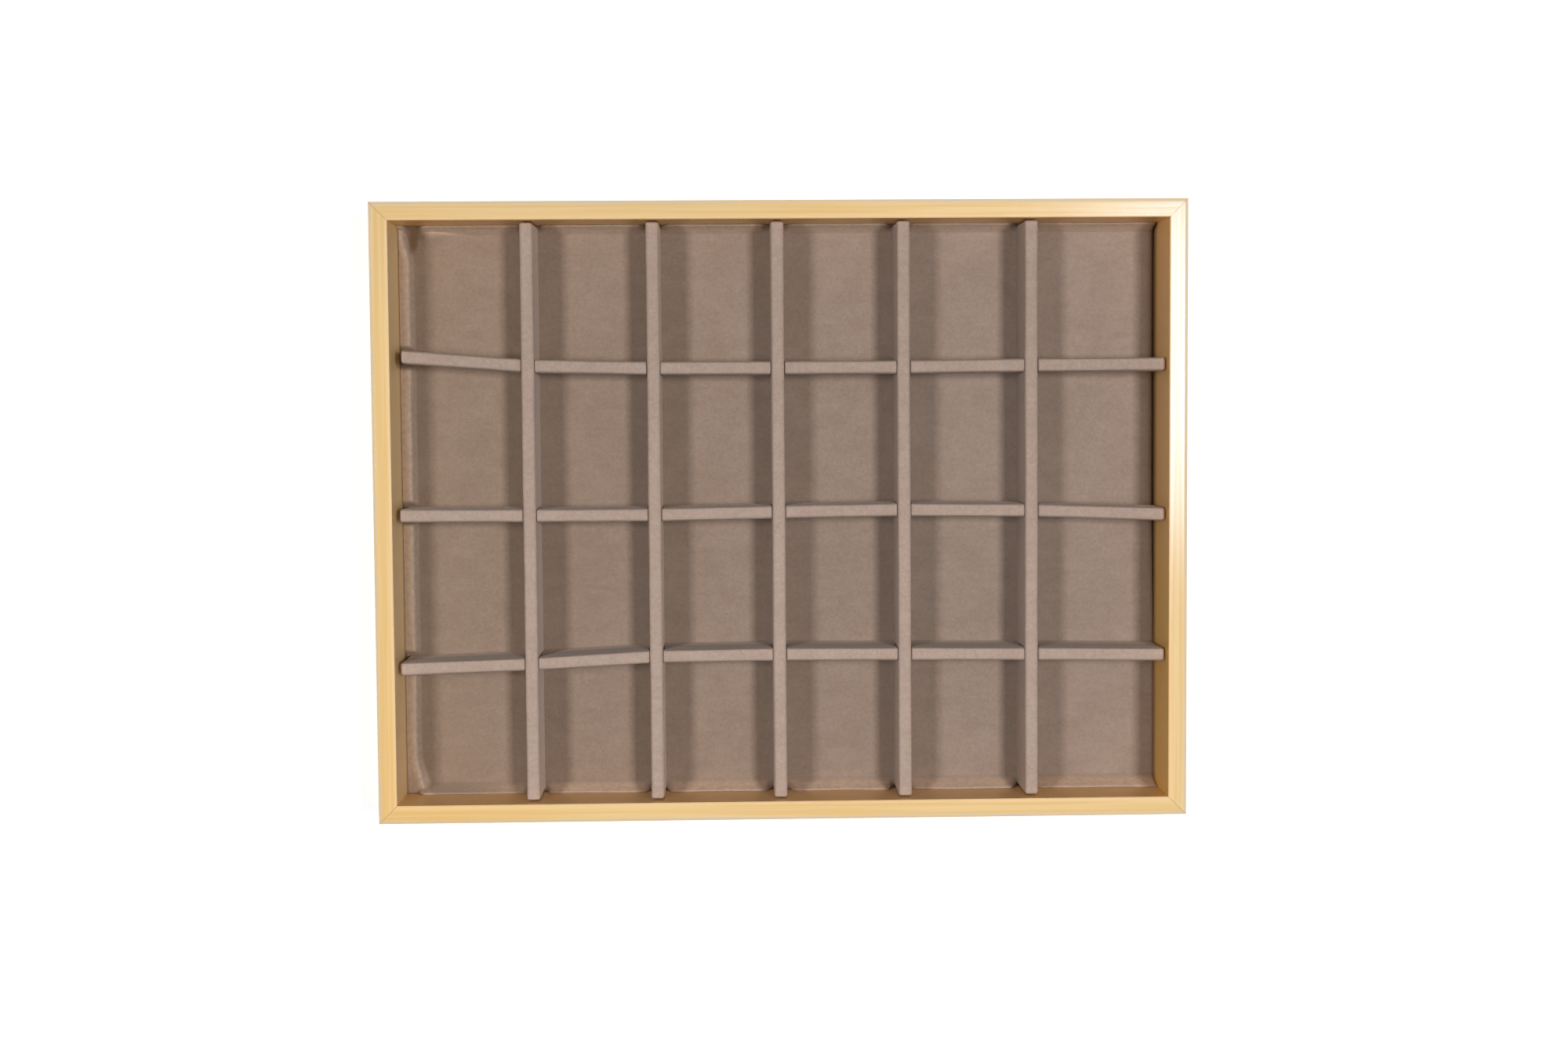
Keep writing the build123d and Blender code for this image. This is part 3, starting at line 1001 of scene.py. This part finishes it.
def wrap_mesh(name, ends, slots, level, slots_on_top, to_tray, seed):
    """The suede skin round one strip of card, as lengths along the strip and out from its middle."""
    start, end = ends
    near = [wrap_round * share for share in edge_steps]
    stops = {start + end_round * share for share in edge_steps}
    stops |= {end - end_round * share for share in edge_steps}
    for middle in slots:
        for side in (-1, 1):
            stops |= {middle + side * (slot_half + slot_round * share) for share in edge_steps}
    lengths = spread(sorted(stops), length_step)
    widths = [half_width - step for step in near]
    widths = [-value for value in widths] + [0.0] + widths[::-1]
    heights = spread([divider_low, level], height_step)
    heights += spread([level, divider_high - wrap_round], height_step)[1:]
    heights += [divider_high - step for step in near[::-1]][1:]
    count = (len(lengths) - 1, len(widths) - 1, len(heights) - 1)

    def in_slot(i, k):
        """Whether a slot cuts one cell of the strip away."""
        t = (lengths[i] + lengths[i + 1]) / 2
        z = (heights[k] + heights[k + 1]) / 2
        return (z > level) == slots_on_top and any(abs(t - middle) < slot_half for middle in slots)

    def filled(i, k):
        """Whether a cell lies in the strip and outside its slots."""
        return 0 <= i < count[0] and 0 <= k < count[2] and not in_slot(i, k)

    skin = []
    for i in range(count[0]):
        for k in range(count[2]):
            if in_slot(i, k):
                continue
            for j in (0, count[1]):
                skin.append([(i, j, k), (i + 1, j, k), (i + 1, j, k + 1), (i, j, k + 1)])
            for step in (0, 1):
                n = i + step
                if not filled(i + 2 * step - 1, k):
                    for j in range(count[1]):
                        skin.append([(n, j, k), (n, j + 1, k), (n, j + 1, k + 1), (n, j, k + 1)])
                n = k + step
                if n > 0 and not filled(i, k + 2 * step - 1):
                    for j in range(count[1]):
                        skin.append([(i, j, n), (i + 1, j, n), (i + 1, j + 1, n), (i, j + 1, n)])

    marks = [start]
    moved = [start + wrap_thickness]
    for middle in slots:
        marks += [middle - slot_half, middle + slot_half]
        moved += [middle - slot_half - wrap_thickness, middle + slot_half + wrap_thickness]
    marks.append(end)
    moved.append(end - wrap_thickness)
    inner_level = level - wrap_thickness if slots_on_top else level + wrap_thickness
    inner_marks = [divider_low, inner_level, divider_high - wrap_thickness]
    inner_lengths = [shifted(t, marks, moved) for t in lengths]
    inner_widths = [s * (half_width - wrap_thickness) / half_width for s in widths]
    inner_heights = [shifted(z, [divider_low, level, divider_high], inner_marks) for z in heights]

    def outer_place(i, j, k):
        """One point of the wrap's outer face, with the strip's edges rounded."""
        t, s, z = lengths[i], widths[j], heights[k]
        point = Vector((t, s, z))
        low_t, high_t = start, end
        turn = end_round
        share = 1.0
        if slots_on_top:
            before = [middle for middle in slots if middle + slot_half <= t + hair]
            after = [middle for middle in slots if middle - slot_half >= t - hair]
            inside = len(before) + len(after) < len(slots)
            from_slot = min(abs(abs(t - middle) - slot_half) for middle in slots)
            if from_slot < slot_round + hair and not inside:
                low_t = max(low_t, before[-1] + slot_half) if before else low_t
                high_t = min(high_t, after[0] - slot_half) if after else high_t
                share = eased(z, level + slot_turn[0], level + slot_turn[1])
                turn = slot_round
        core = Vector((
            min(max(t, low_t + turn), high_t - turn),
            min(max(s, wrap_round - half_width), half_width - wrap_round),
            min(z, divider_high - wrap_round),
        ))
        smooth = core + rounded_away(point - core, (turn, wrap_round, wrap_round))
        return point.lerp(smooth, share)

    build = bmesh.new()
    made = {}

    def vertex(index, outer):
        """One point of the outer or inner face, made once, with the wrap's small unevenness."""
        key = (*index, outer)
        if key in made:
            return made[key]
        if outer:
            t, s, z = outer_place(*index)
            rough = wavy(t * 140, s * 60 + seed, z * 90)
            broad = wavy(t * 30, seed * 3.3, z * 25)
            swell = wrap_swell * (0.6 * rough + 0.8 * broad)
            s += swell * (1 if s > 0 else -1) * eased(abs(s), 0.0, half_width)
            sag = 0.5 + 0.5 * wavy(t * 34, seed * 1.7, 9.0) + 0.25 * rough
            z -= eased(z, divider_high - sag_depth, divider_high) * top_sag * sag
        else:
            t, s, z = (table[n] for table, n in zip((inner_lengths, inner_widths, inner_heights), index))
        s += wrap_sway * wavy(t * 15, seed * 5.1, 2.0)
        made[key] = build.verts.new(to_tray(t, s, z))
        return made[key]

    for cell in skin:
        for outer in (True, False):
            build.faces.new([vertex(index, outer) for index in cell])
        foot = [index for index in cell if index[2] == 0]
        if len(foot) == 2:
            a, b = foot
            build.faces.new([vertex(a, True), vertex(b, True), vertex(b, False), vertex(a, False)])
    bmesh.ops.recalc_face_normals(build, faces=build.faces)
    mesh = bpy.data.meshes.new(name)
    build.to_mesh(mesh)
    build.free()
    mesh.polygons.foreach_set("use_smooth", [True] * len(mesh.polygons))
    mesh.set_sharp_from_angle(angle=radians(sharp_edge))
    return mesh


# painted light and shade on the wraps: sides that face right are painted lighter, sides that face
# left are painted darker towards the foot, and sides that face front or back are painted darker
# towards the top, most on the back face of the front strip; the whole wrap is darker towards the back
wrap_taupe = (0.475, 0.358, 0.296)
wrap_brushed = (0.425, 0.317, 0.258)
lit_side_facing = (0.3, 1.0)
lit_side_lightening = (1.0, 1.16)
shaded_side_facing = (-1.0, -0.3)
shaded_side_darkening = (0.66, 0.95)
shaded_side_height = (divider_low, divider_high - 0.004)
cross_span = (0.4, 0.9)
cross_shade = (1.06, 0.62)
cross_height = (divider_low + 0.008, divider_high)
front_row = (-0.03, -0.06)
front_row_span = (0.3, 0.8)
front_row_shade = (1.0, 0.52)
front_row_height = (divider_low + 0.005, divider_low + 0.016)
tray_depth_span = (-0.10, 0.13)
tray_depth_shade = (1.01, 0.87)
suede_wrap, tree, shader, position = new_material("suede_wrap")
nap = use_group(tree, short_nap, {
    "Position": position,
    "Nap Colour": wrap_taupe,
    "Brushed Colour": wrap_brushed,
    "Patch Size": 0.015,
    "Patch Strength": 0.7,
})
facing = separated(tree, coordinates(tree, "Normal"))
where = separated(tree, position)
lit_side_painted_light = map_range(tree, facing[0], *lit_side_facing, *lit_side_lightening)
shaded_side_painted_shade = map_range(tree, where[2], *shaded_side_height, *shaded_side_darkening)
shaded_side_painted_shade = blend_value(tree, map_range(tree, facing[0], *shaded_side_facing, 1, 0), 1.0, shaded_side_painted_shade)
cross_side = map_range(tree, where[2], *cross_height, *cross_shade)
front_side = map_range(tree, where[2], *front_row_height, *front_row_shade)
in_front = product(
    tree, map_range(tree, where[1], *front_row), map_range(tree, facing[1], *front_row_span)
)
cross_side = blend_value(tree, in_front, cross_side, front_side)
faces_cross = map_range(tree, math_node(tree, "ABSOLUTE", facing[1]), *cross_span)
cross_side = blend_value(tree, faces_cross, 1.0, cross_side)
backwards = map_range(tree, where[1], *tray_depth_span, *tray_depth_shade)
# the product of these is painted light and shade
tone_shift = grey(tree, product(tree, lit_side_painted_light, shaded_side_painted_shade, cross_side, backwards))
finish_suede(tree, shader, blend_colour(tree, 1.0, nap["Colour"], tone_shift, blend_type="MULTIPLY"), nap)

slot_gap = 0.0006
slot_middle = (divider_low + divider_high) / 2
for number, row in enumerate(cross_rows):
    line = cross_lines[row]
    ends = (line[0][0] - end_inset, line[-1][0] + end_inset)
    mesh = wrap_mesh(
        f"cross_wrap_{row}",
        ends,
        long_middles,
        slot_middle - slot_gap / 2,
        True,
        lambda t, s, z, row=row: (t, cross_middle(row, t) + s, z),
        seed=11.0 + number,
    )
    wrap = bpy.data.objects.new(f"cross_wrap_{row}", mesh)
    scene.collection.objects.link(wrap)
    mesh.materials.append(suede_wrap)
    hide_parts(f"cross_cover_{row}")
    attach(wrap, "cross_dividers")


# Long dividers
# Five straight strips of the same card and wrap, from the front wall to the back wall. Their
# slots are cut from below, so their tops run through over the cross dividers.
for number, (low, high) in enumerate(long_boxes, start=1):
    middle = (low.x + high.x) / 2
    crossings = [cross_middle(row, middle) for row in cross_rows]
    mesh = wrap_mesh(
        f"long_wrap_{number}",
        (low.y, high.y),
        crossings,
        slot_middle + slot_gap / 2,
        False,
        lambda t, s, z, middle=middle: (middle + s, t, z),
        seed=31.0 + number,
    )
    wrap = bpy.data.objects.new(f"long_wrap_{number}", mesh)
    scene.collection.objects.link(wrap)
    mesh.materials.append(suede_wrap)
    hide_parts(f"long_cover_{number}")
    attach(wrap, f"long_divider_{number}")


# Size
# The boxes of the solids and of the dressed tray are kept side by side, because the dressing
# doesn't change the size of the tray.
low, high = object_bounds()
